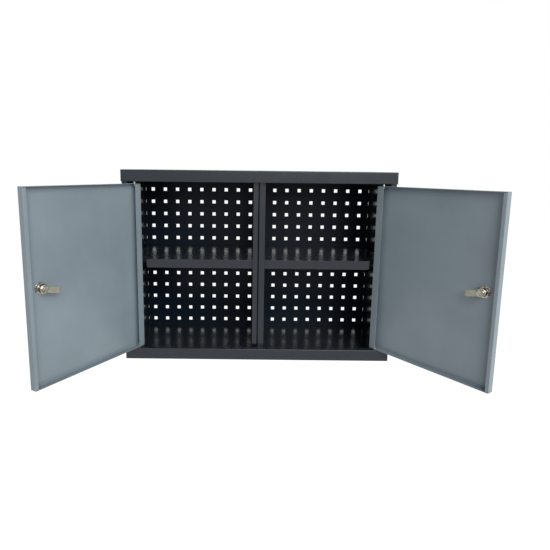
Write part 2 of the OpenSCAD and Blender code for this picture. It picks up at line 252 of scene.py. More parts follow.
def startMaterial(name):
    mat = bpy.data.materials.new(name)
    mat.use_nodes = True
    nodes, links = mat.node_tree.nodes, mat.node_tree.links
    shader = nodes["Principled BSDF"]
    where = nodes.new("ShaderNodeTexCoord").outputs["Object"]
    return mat, nodes, links, shader, where


def noiseAt(nodes, links, where, size, detail=3.0):
    noise = nodes.new("ShaderNodeTexNoise")
    noise.inputs["Scale"].default_value = 1.0 / size
    noise.inputs["Detail"].default_value = detail
    links.new(where, noise.inputs["Vector"])
    return noise.outputs["Fac"]


def spread(nodes, links, fac, low, high):
    # Noise stretched from its own band to the one that is wanted
    ramp = nodes.new("ShaderNodeMapRange")
    ramp.inputs["From Min"].default_value, ramp.inputs["From Max"].default_value = noiseBand
    ramp.inputs["To Min"].default_value = low
    ramp.inputs["To Max"].default_value = high
    links.new(fac, ramp.inputs["Value"])
    return ramp.outputs["Result"]


def tinted(nodes, links, fac, dark, light):
    mix = nodes.new("ShaderNodeMix")
    mix.data_type = "RGBA"
    mix.inputs["A"].default_value = (*dark, 1)
    mix.inputs["B"].default_value = (*light, 1)
    links.new(fac, mix.inputs["Factor"])
    return mix.outputs["Result"]


def roughen(nodes, links, shader, height, distance, strength):
    bump = nodes.new("ShaderNodeBump")
    bump.inputs["Distance"].default_value = distance
    bump.inputs["Strength"].default_value = strength
    links.new(height, bump.inputs["Height"])
    links.new(bump.outputs["Normal"], shader.inputs["Normal"])


def sprayedPaint(name, finish):
    # Powder coat: orange peel, faint clouds in the colour, handling marks in the gloss
    mat, nodes, links, shader, where = startMaterial(name)
    dark, light = (Vector(finish["colour"]) * share for share in paint["cloud"])
    cloud = spread(nodes, links, noiseAt(nodes, links, where, paint["cloudSize"]), 0.0, 1.0)
    links.new(tinted(nodes, links, cloud, dark, light), shader.inputs["Base Color"])
    glossy, dull = (finish["rough"] * share for share in paint["wipe"])
    wiped = noiseAt(nodes, links, where, paint["wipeSize"], paint["wipeDetail"])
    links.new(spread(nodes, links, wiped, glossy, dull), shader.inputs["Roughness"])
    shader.inputs["Specular IOR Level"].default_value = finish["specular"]
    peel = noiseAt(nodes, links, where, finish["peelSize"], paint["peelDetail"])
    roughen(nodes, links, shader, peel, finish["peel"], paint["peelStrength"])
    return mat


def platedMetal(name, finish):
    # Plating: fine grain in the gloss, with patches of bloom in the colour
    mat, nodes, links, shader, where = startMaterial(name)
    patch = spread(nodes, links, noiseAt(nodes, links, where, finish["patch"]), 0.0, 1.0)
    tint = tinted(nodes, links, patch, Vector(finish["bloom"]), Vector(finish["colour"]))
    links.new(tint, shader.inputs["Base Color"])
    shader.inputs["Metallic"].default_value = finish["metal"]
    glossy, dull = (finish["rough"] * share for share in plating["gloss"])
    grain = noiseAt(nodes, links, where, finish["grain"], plating["grainDetail"])
    links.new(spread(nodes, links, grain, glossy, dull), shader.inputs["Roughness"])
    roughen(nodes, links, shader, grain, plating["bump"], plating["bumpStrength"])
    return mat


materials = {}
for name, finish in finishes.items():
    make = platedMetal if "metal" in finish else sprayedPaint
    materials[name] = make(name, finish)
print("finishes mixed")


def dress(obj, node):
    # Gives a new piece the finish, the body and the place of its CAD node
    obj.data.materials.clear()
    obj.data.materials.append(materials[slotOf[node]])
    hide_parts(node)
    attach(obj, bodyOf[node])


def addPiece(name, mesh):
    obj = bpy.data.objects.new(name, mesh)
    scene.collection.objects.link(obj)
    return obj


def drawnPiece(name, bm):
    # Turns a finished drawing into a smooth-shaded object
    for face in bm.faces:
        face.smooth = True
    mesh = bpy.data.meshes.new(name)
    bm.to_mesh(mesh)
    bm.free()
    return addPiece(name, mesh)


# Folded sheet: each piece is drawn as the outer face of its bends, in millimetres
bends = {
    "outer": 1.7,
    "relief": 2.0,
    "steps": 3,
    "foldFrom": 0.5,  # radians between two faces that meet in a bend
    "merge": 0.02,
    "thickness": 1.0,
    "easedEdge": 0.22,
    "easedSteps": 2,
    "easedFrom": 60.0,  # degrees
    "shadeWeight": 50,
}
hinge = {"across": 317.5, "depth": -133.0, "leftOpen": 121.0, "rightOpen": 125.5}


def leftRight(side, points):
    return [(side * x, y, z) for x, y, z in points]


def doorFrame(side):
    # Left is -1: X along the door from its hinge axis, Y from its outer to its inner face
    turn = math.radians(hinge["leftOpen"] if side < 0 else hinge["rightOpen"])
    along = Vector((-side * math.cos(turn), -math.sin(turn), 0))
    inward = Vector((-side * math.sin(turn), math.cos(turn), 0))
    place = Matrix.Identity(4)
    for row in range(3):
        place[row][0], place[row][1], place[row][2] = along[row], inward[row], (0, 0, 1)[row]
    place[0][3], place[1][3] = side * hinge["across"], hinge["depth"]
    return place


def toMetres(bm, place=None):
    if place is not None:
        bmesh.ops.transform(bm, matrix=place, verts=bm.verts)
    bmesh.ops.scale(bm, vec=(0.001, 0.001, 0.001), verts=bm.verts)


def foldedSheet(node, pieceName, faces, facing, place=None, bend=bends["outer"]):
    # faces: outlines on the outer side; facing: which way the first one looks
    bm = bmesh.new()
    corners = {}
    made = []
    for outline in faces:
        ring = []
        for point in outline:
            key = tuple(round(v, 3) for v in point)
            if key not in corners:
                corners[key] = bm.verts.new(key)
            ring.append(corners[key])
        made.append(bm.faces.new(ring))
    bmesh.ops.recalc_face_normals(bm, faces=bm.faces)
    bm.normal_update()
    if made[0].normal.dot(Vector(facing)) < 0:
        bmesh.ops.reverse_faces(bm, faces=bm.faces)
    shared = [edge for edge in bm.edges if len(edge.link_faces) == 2]
    foldLines = [edge for edge in shared if edge.calc_face_angle(0.0) > bends["foldFrom"]]
    bmesh.ops.bevel(
        bm,
        geom=foldLines,
        offset=bend,
        segments=bends["steps"],
        profile=0.5,
        affect="EDGES",
        clamp_overlap=True,
    )
    bmesh.ops.remove_doubles(bm, verts=bm.verts, dist=bends["merge"])
    bmesh.ops.dissolve_degenerate(bm, edges=bm.edges, dist=bends["merge"])
    mirrored = place is not None and place.determinant() < 0
    toMetres(bm, place)
    if mirrored:
        bmesh.ops.reverse_faces(bm, faces=bm.faces)
    obj = drawnPiece(pieceName, bm)
    wall = obj.modifiers.new("sheet", "SOLIDIFY")
    wall.thickness = bends["thickness"] / 1000
    wall.offset = -1
    wall.use_even_offset = True
    eased = obj.modifiers.new("easedEdges", "BEVEL")
    eased.limit_method = "ANGLE"
    eased.angle_limit = math.radians(bends["easedFrom"])
    eased.width = bends["easedEdge"] / 1000
    eased.segments = bends["easedSteps"]
    shade = obj.modifiers.new("evenShade", "WEIGHTED_NORMAL")
    shade.weight = bends["shadeWeight"]
    dress(obj, node)


# Roof and floor trays: front and side edges, rear edge, ledge for the hinge pins
tray = {
    "halfWidth": 350.0,
    "front": -145.0,
    "rear": 145.0,
    "edge": 30.0,
    "rearEdge": 12.0,
    "ledge": 20.0,
    "ledgeHalf": 348.0,
    "roofTop": 500.0,
}


def trayFaces(top=None):
    # The floor as it lies, or upside down below the given top
    w, f, r, e, k = tray["halfWidth"], tray["front"], tray["rear"], tray["edge"], tray["rearEdge"]
    h, g, c = tray["ledgeHalf"], tray["front"] + tray["ledge"], bends["relief"]
    ends = [(f, 0), (f, e - c), (f + c, e), (r - c, e), (r - c, k), (r, k), (r, 0)]
    faces = [
        [(-w, f, 0), (w, f, 0), (w, r, 0), (-w, r, 0)],
        [
            (-w, f, 0),
            (-w, f, e - c),
            (-h, f, e - c),
            (-h, f, e),
            (h, f, e),
            (h, f, e - c),
            (w, f, e - c),
            (w, f, 0),
        ],
        [(w, y, z) for y, z in ends],
        [(-w, y, z) for y, z in ends],
        [(-w, r, 0), (w, r, 0), (w, r, k), (-w, r, k)],
        [(-h, f, e), (h, f, e), (h, g, e), (-h, g, e)],
    ]
    if top is not None:
        faces = [[(x, y, top - z) for x, y, z in outline] for outline in faces]
    return faces


foldedSheet("floor_panel", "floorTray", trayFaces(), (0, 0, -1))
foldedSheet("roof_panel", "roofTray", trayFaces(tray["roofTop"]), (0, 0, 1))

# Side panels: wall, front post and the fold behind it
sidePanel = {
    "wall": 349.0,
    "post": 334.39,
    "front": -140.0,
    "rear": 143.0,
    "lip": 20.0,
    "low": 30.0,
    "high": 470.0,
    "bottom": 1.0,
    "top": 499.0,
}


def sideFaces(side):
    w, p, f, r = sidePanel["wall"], sidePanel["post"], sidePanel["front"], sidePanel["rear"]
    lo, hi, g = sidePanel["low"], sidePanel["high"], sidePanel["front"] + sidePanel["lip"]
    b, t, c = sidePanel["bottom"], sidePanel["top"], f + bends["relief"]
    faces = [
        [(w, c, b), (w, c, lo), (w, f, lo), (w, f, hi), (w, c, hi), (w, c, t), (w, r, t), (w, r, b)],
        [(w, f, lo), (w, f, hi), (p, f, hi), (p, f, lo)],
        [(p, f, lo), (p, f, hi), (p, g, hi), (p, g, lo)],
    ]
    return [leftRight(side, outline) for outline in faces]


foldedSheet("left_side_panel", "leftSide", sideFaces(-1), (-1, 0, 0))
foldedSheet("right_side_panel", "rightSide", sideFaces(1), (1, 0, 0))

# Divider halves: web, front flange and the tab at the back panel
divider = {
    "seam": 1.0,
    "front": -122.5,
    "rear": 143.0,
    "bottom": 1.0,
    "foot": 36.5,
    "top": 499.0,
    "tab": 9.0,
    "leftFlange": 13.0,
    "rightFlange": 16.0,
    "bend": 1.3,
}


def dividerFaces(side, flange):
    s, f, r, tab = divider["seam"], divider["front"], divider["rear"], divider["tab"]
    b, foot, t, c = divider["bottom"], divider["foot"], divider["top"], f + bends["relief"]
    faces = [
        [(s, c, b), (s, c, foot), (s, f, foot), (s, f, t), (s, r, t), (s, r, b)],
        [(s, f, foot), (s, f, t), (s + flange, f, t), (s + flange, f, foot)],
        [(s, r, b), (s, r, t), (s + tab, r, t), (s + tab, r, b)],
    ]
    return [leftRight(side, outline) for outline in faces]


leftHalf, rightHalf = dividerFaces(-1, divider["leftFlange"]), dividerFaces(1, divider["rightFlange"])
foldedSheet("divider_left_half", "dividerLeft", leftHalf, (1, 0, 0), bend=divider["bend"])
foldedSheet("divider_right_half", "dividerRight", rightHalf, (-1, 0, 0), bend=divider["bend"])

# Shelves: folded front edge with a hem, rounded lower corner, cut-out outer corner
shelf = {
    "inner": 2.5,
    "outer": 341.5,
    "front": -114.0,
    "rear": 141.5,
    "top": 266.0,
    "frontEdge": 23.0,
    "edge": 15.0,
    "hem": 10.0,
    "notchWide": 46.0,
    "notchDeep": 30.0,
    "corner": 5.0,
    "cornerSteps": 4,
}


def shelfFaces(side):
    a, b, f, r, t = shelf["inner"], shelf["outer"], shelf["front"], shelf["rear"], shelf["top"]
    low, e, c = t - shelf["frontEdge"], t - shelf["edge"], shelf["corner"]
    n, g = b - shelf["notchWide"], f + shelf["notchDeep"]
    turns = [q * math.pi / 2 / shelf["cornerSteps"] for q in range(shelf["cornerSteps"] + 1)]
    arc = [(n - c + c * math.cos(turn), f, low + c - c * math.sin(turn)) for turn in turns]
    faces = [
        [(a, f, t), (n, f, t), (n, g, t), (b, g, t), (b, r, t), (a, r, t)],
        [(a, f, t), (n, f, t), *arc, (a, f, low)],
        [(a, f, low), (n - c, f, low), (n - c, f + shelf["hem"], low), (a, f + shelf["hem"], low)],
        [(b, g, t), (b, r, t), (b, r, e), (b, g, e)],
        [(a, r, t), (b, r, t), (b, r, e), (a, r, e)],
        [(n, g, t), (b, g, t), (b, g, e), (n, g, e)],
    ]
    return [leftRight(side, outline) for outline in faces]


foldedSheet("left_shelf", "leftShelf", shelfFaces(-1), (0, 0, 1))
foldedSheet("right_shelf", "rightShelf", shelfFaces(1), (0, 0, 1))

# Shelf brackets: small angles on the side walls and on the divider's webs
bracket = {
    "from": -65.5,
    "length": 190.0,
    "top": 251.0,
    "leg": 16.0,
    "drop": 14.0,
    "wallFace": 348.0,
    "webFace": 2.0,
}


def bracketFaces(face, way):
    y0, y1 = bracket["from"], bracket["from"] + bracket["length"]
    t, low, tip = bracket["top"], bracket["top"] - bracket["drop"], face + way * bracket["leg"]
    return [
        [(face, y0, t), (tip, y0, t), (tip, y1, t), (face, y1, t)],
        [(face, y0, t), (face, y1, t), (face, y1, low), (face, y0, low)],
    ]


for bracketNode, bracketName, face, way in (
    ("left_wall_bracket", "leftWallBracket", -bracket["wallFace"], 1),
    ("right_wall_bracket", "rightWallBracket", bracket["wallFace"], -1),
    ("left_divider_bracket", "leftDividerBracket", -bracket["webFace"], -1),
    ("right_divider_bracket", "rightDividerBracket", bracket["webFace"], 1),
):
    foldedSheet(bracketNode, bracketName, bracketFaces(face, way), (0, 0, 1))

# Doors: pans with plain flanges above and below and lips at both sides, open at their corners
door = {
    "tail": -13.5,
    "free": 316.0,
    "half": 8.0,
    "low": 32.0,
    "high": 465.0,
    "hingeLip": 19.0,
    "freeLip": 8.0,
}


def doorFaces():
    a, b, h, c = door["tail"], door["free"], door["half"], bends["relief"]
    lo, hi = door["low"], door["high"]
    faces = [[(a, -h, lo), (b, -h, lo), (b, -h, hi), (a, -h, hi)]]
    for z in (lo, hi):
        faces.append([(a, -h, z), (a, h - c, z), (a + c, h, z), (b - c, h, z), (b, h - c, z), (b, -h, z)])
    for x, inner in ((a, a + door["hingeLip"]), (b, b - door["freeLip"])):
        side = [(h - c, lo), (h, lo + c), (h, hi - c), (h - c, hi)]
        faces.append([(x, -h, lo), *[(x, y, z) for y, z in side], (x, -h, hi)])
        faces.append([(x, h, lo + c), (inner, h, lo + c), (inner, h, hi - c), (x, h, hi - c)])
    return faces


foldedSheet("left_door", "leftDoor", doorFaces(), (0, -1, 0), doorFrame(-1))
foldedSheet("right_door", "rightDoor", doorFaces(), (0, -1, 0), doorFrame(1))
print("sheets folded")

# Back panel: square perforations and relief slots punched by one Geometry Nodes tree
punching = {
    "halfWidth": 349.0,
    "low": 1.0,
    "high": 499.0,
    "face": 143.0,
    "thickness": 1.0,
    "columns": 18,
    "rows": 12,
    "pitch": 38.0,
    "side": 10.0,
    "firstRow": 21.5,
    "shift": -3.0,
    "slotWidth": 0.5,  # narrower than in the solid, so that it is as dim as in the photograph
    "slotEdge": 348.0,
    "fixing": 9.0,
    "fixingSpacing": 600.0,
    "fixingHeight": 475.0,
    "punchDepth": 4.0,
    "drillSides": 32,
}


def socketId(tree, name):
    for item in tree.interface.items_tree:
        if item.item_type == "SOCKET" and item.in_out == "INPUT" and item.name == name:
            return item.identifier
    raise KeyError(name)


def newTree(name, inputs):
    tree = bpy.data.node_groups.new(name, "GeometryNodeTree")
    for label, kind, value in inputs:
        item = tree.interface.new_socket(label, in_out="INPUT", socket_type="NodeSocket" + kind)
        if value is not None:
            item.default_value = value
    tree.interface.new_socket("Geometry", in_out="OUTPUT", socket_type="NodeSocketGeometry")
    tree.interface.new_socket("Geometry", in_out="INPUT", socket_type="NodeSocketGeometry")
    return tree, tree.nodes.new("NodeGroupInput"), tree.nodes.new("NodeGroupOutput")


def finishTree(tree, geometry, start, end):
    # Realize Instances, then Set Material, then out
    real = tree.nodes.new("GeometryNodeRealizeInstances")
    coat = tree.nodes.new("GeometryNodeSetMaterial")
    tree.links.new(geometry, real.inputs[0])
    tree.links.new(real.outputs[0], coat.inputs["Geometry"])
    tree.links.new(start.outputs["Material"], coat.inputs["Material"])
    tree.links.new(coat.outputs[0], end.inputs[0])


def grown(name, tree, values):
    # Runs a tree once and keeps its result as a plain mesh
    host = addPiece(name, bpy.data.meshes.new(name + "Host"))
    grow = host.modifiers.new("grow", "NODES")
    grow.node_group = tree
    for label, value in values.items():
        grow[socketId(tree, label)] = value
    bpy.context.view_layer.update()
    mesh = bpy.data.meshes.new_from_object(host.evaluated_get(bpy.context.evaluated_depsgraph_get()))
    host.modifiers.remove(grow)
    host.data = mesh
    return host


def punchTree():
    # A plate less its grid of square holes, a column of slots at each side and the wall holes
    tree, start, end = newTree(
        "punchedPanel",
        [
            ("Plate Size", "Vector", (0.698, 0.001, 0.498)),
            ("Plate Centre", "Vector", (0, 0, 0)),
            ("Columns", "Int", 18),
            ("Rows", "Int", 12),
            ("Field Size", "Vector", (0.646, 0.418, 0)),
            ("Field Centre", "Vector", (0, 0, 0)),
            ("Hole Size", "Vector", (0.01, 0.004, 0.01)),
            ("Slot Size", "Vector", (0.0015, 0.004, 0.01)),
            ("Slot Reach", "Float", 0.69475),
            ("Fixing Radius", "Float", 0.0045),
            ("Fixing Spacing", "Float", 0.6),
            ("Fixing Centre", "Vector", (0, 0, 0)),
            ("Material", "Material", None),
        ],
    )
    nodes, links, given = tree.nodes, tree.links, start.outputs

    def placed(geometry, centre=None):
        move = nodes.new("GeometryNodeTransform")
        links.new(geometry, move.inputs["Geometry"])
        if centre is not None:
            links.new(centre, move.inputs["Translation"])
        return move

    def stood(geometry, centre=None):
        # Turned from lying to facing the front
        move = placed(geometry, centre)
        move.inputs["Rotation"].default_value = (math.pi / 2, 0, 0)
        return move.outputs[0]

    def cube(size):
        made = nodes.new("GeometryNodeMeshCube")
        links.new(size, made.inputs["Size"])
        return made.outputs["Mesh"]

    def grid(wide, high, columns, rows, centre):
        made = nodes.new("GeometryNodeMeshGrid")
        values = {"Size X": wide, "Size Y": high, "Vertices X": columns, "Vertices Y": rows}
        for label, value in values.items():
            if isinstance(value, (int, float)):
                made.inputs[label].default_value = value
            else:
                links.new(value, made.inputs[label])
        return stood(made.outputs["Mesh"], centre)

    def onEach(points, shape):
        put = nodes.new("GeometryNodeInstanceOnPoints")
        links.new(points, put.inputs["Points"])
        links.new(shape, put.inputs["Instance"])
        return put.outputs["Instances"]

    field = nodes.new("ShaderNodeSeparateXYZ")
    links.new(given["Field Size"], field.inputs[0])
    wide, high = field.outputs["X"], field.outputs["Y"]
    holeGrid = grid(wide, high, given["Columns"], given["Rows"], given["Field Centre"])
    holes = onEach(holeGrid, cube(given["Hole Size"]))

    fieldCentre = nodes.new("ShaderNodeSeparateXYZ")
    links.new(given["Field Centre"], fieldCentre.inputs[0])
    slotCentre = nodes.new("ShaderNodeCombineXYZ")
    for axis in ("Y", "Z"):
        links.new(fieldCentre.outputs[axis], slotCentre.inputs[axis])
    slotGrid = grid(given["Slot Reach"], high, 2, given["Rows"], slotCentre.outputs[0])
    slots = onEach(slotGrid, cube(given["Slot Size"]))

    fixingLine = nodes.new("GeometryNodeMergeByDistance")
    links.new(grid(given["Fixing Spacing"], 0.0, 2, 2, given["Fixing Centre"]), fixingLine.inputs["Geometry"])
    drill = nodes.new("GeometryNodeMeshCylinder")
    drill.inputs["Vertices"].default_value = punching["drillSides"]
    drill.inputs["Depth"].default_value = punching["punchDepth"] / 1000
    links.new(given["Fixing Radius"], drill.inputs["Radius"])
    fixings = onEach(fixingLine.outputs[0], stood(drill.outputs["Mesh"]))

    plate = placed(cube(given["Plate Size"]), given["Plate Centre"])
    punches = nodes.new("GeometryNodeJoinGeometry")
    for made in (holes, slots, fixings):
        links.new(made, punches.inputs[0])
    cut = nodes.new("GeometryNodeMeshBoolean")
    cut.operation = "DIFFERENCE"
    cut.solver = "EXACT"
    links.new(plate.outputs[0], cut.inputs["Mesh 1"])
    links.new(punches.outputs[0], cut.inputs["Mesh 2"])
    finishTree(tree, cut.outputs["Mesh"], start, end)
    return tree


def mm(*values):
    return tuple(v / 1000 for v in values)


middle = punching["face"] + punching["thickness"] / 2
plateHigh = punching["high"] - punching["low"]
fieldHigh = punching["firstRow"] + (punching["rows"] - 1) * punching["pitch"]
fieldMiddle = (punching["firstRow"] + fieldHigh) / 2
backPanel = grown(
    "backPanel",
    punchTree(),
    {
        "Plate Size": mm(2 * punching["halfWidth"], punching["thickness"], plateHigh),
        "Plate Centre": mm(0, middle, (punching["low"] + punching["high"]) / 2),
        "Columns": punching["columns"],
        "Rows": punching["rows"],
        "Field Size": mm((punching["columns"] - 1) * punching["pitch"], fieldHigh - punching["firstRow"], 0),
        "Field Centre": mm(punching["shift"], middle, fieldMiddle),
        "Hole Size": mm(punching["side"], punching["punchDepth"], punching["side"]),
        "Slot Size": mm(punching["slotWidth"], punching["punchDepth"], punching["side"]),
        "Slot Reach": (2 * punching["slotEdge"] - punching["slotWidth"]) / 1000,
        "Fixing Radius": punching["fixing"] / 2000,
        "Fixing Spacing": punching["fixingSpacing"] / 1000,
        "Fixing Centre": mm(0, middle, punching["fixingHeight"]),
        # the back panel's darker, bluer colour is painted shade of the deep interior
        "Material": materials["inside_grey"],
    },
)
dress(backPanel, "back_panel")
print("back panel punched", len(backPanel.data.polygons), "faces")

# Turned pieces: a section in (radius, height) swept round the local Z axis
closeEnough = 0.0005  # millimetres between two corners that are made one


def turned(bm, section, sides, at=(0, 0, 0), closed=True):
    x, y, z = at
    turns = [2 * math.pi * k / sides for k in range(sides)]
    rings = []
    for radius, height in section:
        ring = [(x + radius * math.cos(t), y + radius * math.sin(t), z + height) for t in turns]
        rings.append([bm.verts.new(point) for point in (ring if radius > 0 else ring[:1])])
    pairs = list(zip(rings, rings[1:]))
    if closed:
        pairs.append((rings[-1], rings[0]))
    for low, high in pairs:
        for k in range(sides):
            n = (k + 1) % sides
            if len(low) == 1:
                bm.faces.new((low[0], high[n], high[k]))
            elif len(high) == 1:
                bm.faces.new((low[k], low[n], high[0]))
            else:
                bm.faces.new((low[k], low[n], high[n], high[k]))


def solidPiece(pieceName, bm, node, sharp, place=None):
    # sharp: from how many degrees on an edge isn't shaded over
    bmesh.ops.remove_doubles(bm, verts=bm.verts, dist=closeEnough)
    toMetres(bm, place)
    bmesh.ops.recalc_face_normals(bm, faces=bm.faces)
    for edge in bm.edges:
        if len(edge.link_faces) == 2 and edge.calc_face_angle(0.0) > math.radians(sharp):
            edge.smooth = False
    dress(drawnPiece(pieceName, bm), node)


# Hinge pins and the washers under the doors
pin = {
    "radius": 3.0,
    "headRadius": 5.0,
    "head": 2.5,
    "headRound": ((1.0, 0.0), (0.3, 0.25), (0.0, 0.8)),  # inset and drop of the rounded rim
    "tip": 0.6,
    "lower": (29.0, 39.0, 1),  # ledge, tip and way up
    "upper": (471.0, 458.0, -1),
    "sides": 32,
    "sharp": 35.0,
}
hingeWasher = {"bore": 3.1, "radius": 7.0, "low": 30.0, "high": 31.9, "ease": 0.3, "sides": 40}


def pinSection(ledge, tip, way):
    # From the head, over the shank, to the chamfered tip
    r, h, e = pin["radius"], pin["headRadius"], pin["tip"]
    rim = [(h - inset, ledge - way * (pin["head"] - drop)) for inset, drop in pin["headRound"]]
    crown = (0, ledge - way * pin["head"])
    return [crown, *rim, (h, ledge), (r, ledge), (r, tip - way * e), (r - e, tip), (0, tip)]


def washerSection(bore, radius, low, high, ease):
    rim = [(radius - ease, low), (radius, low + ease), (radius, high - ease), (radius - ease, high)]
    return [(bore, low), *rim, (bore, high)]


for side, word in ((-1, "left"), (1, "right")):
    axis = (side * hinge["across"], hinge["depth"], 0)
    for level in ("lower", "upper"):
        bm = bmesh.new()
        turned(bm, pinSection(*pin[level]), pin["sides"], axis, closed=False)
        solidPiece(level + word.capitalize() + "Pin", bm, level + "_" + word + "_hinge_pin", pin["sharp"])
    bm = bmesh.new()
    section = washerSection(*(hingeWasher[key] for key in ("bore", "radius", "low", "high", "ease")))
    turned(bm, section, hingeWasher["sides"], axis)
    solidPiece(word + "HingeWasher", bm, word + "_hinge_washer", pin["sharp"])
print("hinge pins turned")

# Rivets: one tree sets a domed head on both faces of each riveted pair
rivets = {
    "radius": 3.6,
    "dome": 1.0,
    "wallTail": 1.0,
    "webTail": 0.9,
    "shankRadius": 2.0,
    "grip": 2.0,
    "height": 244.0,
    "near": -40.5,
    "far": 99.5,
    "sides": 20,
    "rings": 8,
    "sharp": 50.0,
}


def rivetTree():
    tree, start, end = newTree(
        "rivetRow",
        [
            ("Head Radius", "Float", 0.0036),
            ("Head Height", "Float", 0.001),
            ("Shank Radius", "Float", 0.002),
            ("Grip", "Float", 0.002),
            ("Tail Height", "Float", 0.001),
            ("First", "Vector", (0, 0, 0)),
            ("Last", "Vector", (0, 0, 0)),
            ("Turn", "Vector", (0, 0, 0)),
            ("Material", "Material", None),
        ],
    )
    nodes, links, given = tree.nodes, tree.links, start.outputs
    line = nodes.new("GeometryNodeMeshLine")
    line.mode = "END_POINTS"
    line.inputs["Count"].default_value = 2
    links.new(given["First"], line.inputs["Start Location"])
    links.new(given["Last"], line.inputs["Offset"])
    parts = nodes.new("GeometryNodeJoinGeometry")

    def dome(height, share):
        # A flattened ball whose middle is at this share of the grip
        ball = nodes.new("GeometryNodeMeshUVSphere")
        ball.inputs["Segments"].default_value = rivets["sides"]
        ball.inputs["Rings"].default_value = rivets["rings"]
        ball.inputs["Radius"].default_value = 1.0
        lift = nodes.new("ShaderNodeMath")
        lift.operation = "MULTIPLY"
        lift.inputs[1].default_value = share
        links.new(given["Grip"], lift.inputs[0])
        size = nodes.new("ShaderNodeCombineXYZ")
        place = nodes.new("ShaderNodeCombineXYZ")
        links.new(given["Head Radius"], size.inputs["X"])
        links.new(given["Head Radius"], size.inputs["Y"])
        links.new(height, size.inputs["Z"])
        links.new(lift.outputs[0], place.inputs["Z"])
        put = nodes.new("GeometryNodeTransform")
        links.new(ball.outputs["Mesh"], put.inputs["Geometry"])
        links.new(size.outputs[0], put.inputs["Scale"])
        links.new(place.outputs[0], put.inputs["Translation"])
        links.new(put.outputs[0], parts.inputs[0])

    dome(given["Head Height"], 0.5)
    dome(given["Tail Height"], -0.5)
    shank = nodes.new("GeometryNodeMeshCylinder")
    shank.inputs["Vertices"].default_value = rivets["sides"]
    links.new(given["Shank Radius"], shank.inputs["Radius"])
    links.new(given["Grip"], shank.inputs["Depth"])
    links.new(shank.outputs["Mesh"], parts.inputs[0])
    turnBy = nodes.new("FunctionNodeEulerToRotation")
    links.new(given["Turn"], turnBy.inputs[0])
    put = nodes.new("GeometryNodeInstanceOnPoints")
    links.new(line.outputs[0], put.inputs["Points"])
    links.new(parts.outputs[0], put.inputs["Instance"])
    links.new(turnBy.outputs[0], put.inputs["Rotation"])
    finishTree(tree, put.outputs["Instances"], start, end)
    return tree


rivetRow = rivetTree()
wallFace, webFace = bracket["wallFace"], bracket["webFace"]
wallTail, webTail = rivets["wallTail"], rivets["webTail"]
bm = bmesh.new()
for x, turn, tail in (
    (-wallFace, 1, wallTail),
    (wallFace, -1, wallTail),
    (-webFace, -1, webTail),
    (webFace, 1, webTail),
):
    values = {
        "Head Radius": rivets["radius"] / 1000,
        "Head Height": rivets["dome"] / 1000,
        "Shank Radius": rivets["shankRadius"] / 1000,
        "Grip": rivets["grip"] / 1000,
        "Tail Height": tail / 1000,
        "First": mm(x, rivets["near"], rivets["height"]),
        "Last": mm(x, rivets["far"], rivets["height"]),
        "Turn": (0.0, turn * math.pi / 2, 0.0),
        "Material": materials["zinc_steel"],
    }
    row = grown("rivets", rivetRow, values)
    bm.from_mesh(row.data)
    bpy.data.objects.remove(row)
bmesh.ops.scale(bm, vec=(1000, 1000, 1000), verts=bm.verts)
solidPiece("bracketRivets", bm, "bracket_rivets", rivets["sharp"])
print("rivets set")

# Cam locks, drawn along Z from outside to inside, zero at the middle of the door
lock = {
    "along": 280.0,
    "height": 248.5,
    "skin": -8.0,
    "skinThick": 1.0,
    "bezel": 11.0,
    "bezelThick": 2.0,
    "bezelRound": ((0.0, 0.0), (0.0, 0.8), (0.5, 1.5), (1.6, 1.9)),  # inset and rise of the round head
    "seatEase": (0.4, 0.2),
    "barrel": 9.0,
    "barrelEnd": 13.0,
    "bore": 6.05,
    "plug": 6.0,
    "plugHead": 7.5,
    "plugHeadThick": 1.5,
    "fit": 0.05,
    "ease": 0.3,
    "washer": 13.0,
    "washerThick": 1.5,
    "washerGap": 0.1,
    "nutFlats": 22.0,
    "nutThick": 6.0,
    "nutChamfer": 0.55,
    "nutBoreEase": 0.5,
    "hexFace": 0.968,  # round edge of a chamfered hexagon's face, as a share of its flats
    "hexCone": 1.068,  # where the cone begins to cut its corners
    "hexSlope": 0.58,
    "threadPitch": 1.5,
    "threadDepth": 0.5,
    "threadNeck": 1.2,
    "threadStart": 1.8,
    "threadShort": 3.0,
    "threadSteps": 40,
    "ridgeSides": 4,
    "keyWide": 1.6,
    "keyHigh": 8.0,
    "keyDeep": 7.0,
    "square": 7.0,
    "tongue": 34.0,
    "tongueWide": 14.0,
    "tongueThick": 2.0,
    "tongueStart": 13.5,
    "tongueHub": 8.0,
    "tongueCorner": 3.5,
    "tongueRim": 0.15,
    "tongueBreak": 0.5,
    "hubSteps": 32,
    "cornerSteps": 6,
    "droop": 12.0,
    "screwFlats": 13.0,
    "screwHead": 2.3,
    "screwShank": 2.0,
    "screwLength": 11.0,
    "screwRoom": 0.5,
    "screwChamfer": 0.4,
    "screwDish": ((1.4, 0.0), (1.9, 0.35)),  # inset and depth of the dished face
    "sides": 60,
    "sharp": 32.0,
}


def lockFrame(side):
    inDoor = Matrix.Translation((lock["along"], 0, lock["height"])) @ Matrix.Rotation(-math.pi / 2, 4, "X")
    return doorFrame(side) @ inDoor


def circle(bm, radius, height):
    turns = [2 * math.pi * k / lock["sides"] for k in range(lock["sides"])]
    return [bm.verts.new((radius * math.cos(t), radius * math.sin(t), height)) for t in turns]


def hexagon(bm, flats, height, fall=0.0, capped=False):
    # capped: the round edge of the chamfered face; fall: way in which the cone cuts the corners back
    ring = []
    flat = flats / 2
    for k in range(lock["sides"]):
        angle = 2 * math.pi * k / lock["sides"]
        full = flat / math.cos((angle + math.pi / 6) % (math.pi / 3) - math.pi / 6)
        radius = flat * lock["hexFace"] if capped else full
        past = 0.0 if capped else max(0.0, full - flat * lock["hexCone"])
        drop = past * lock["hexSlope"] * fall
        ring.append(bm.verts.new((radius * math.cos(angle), radius * math.sin(angle), height + drop)))
    return ring


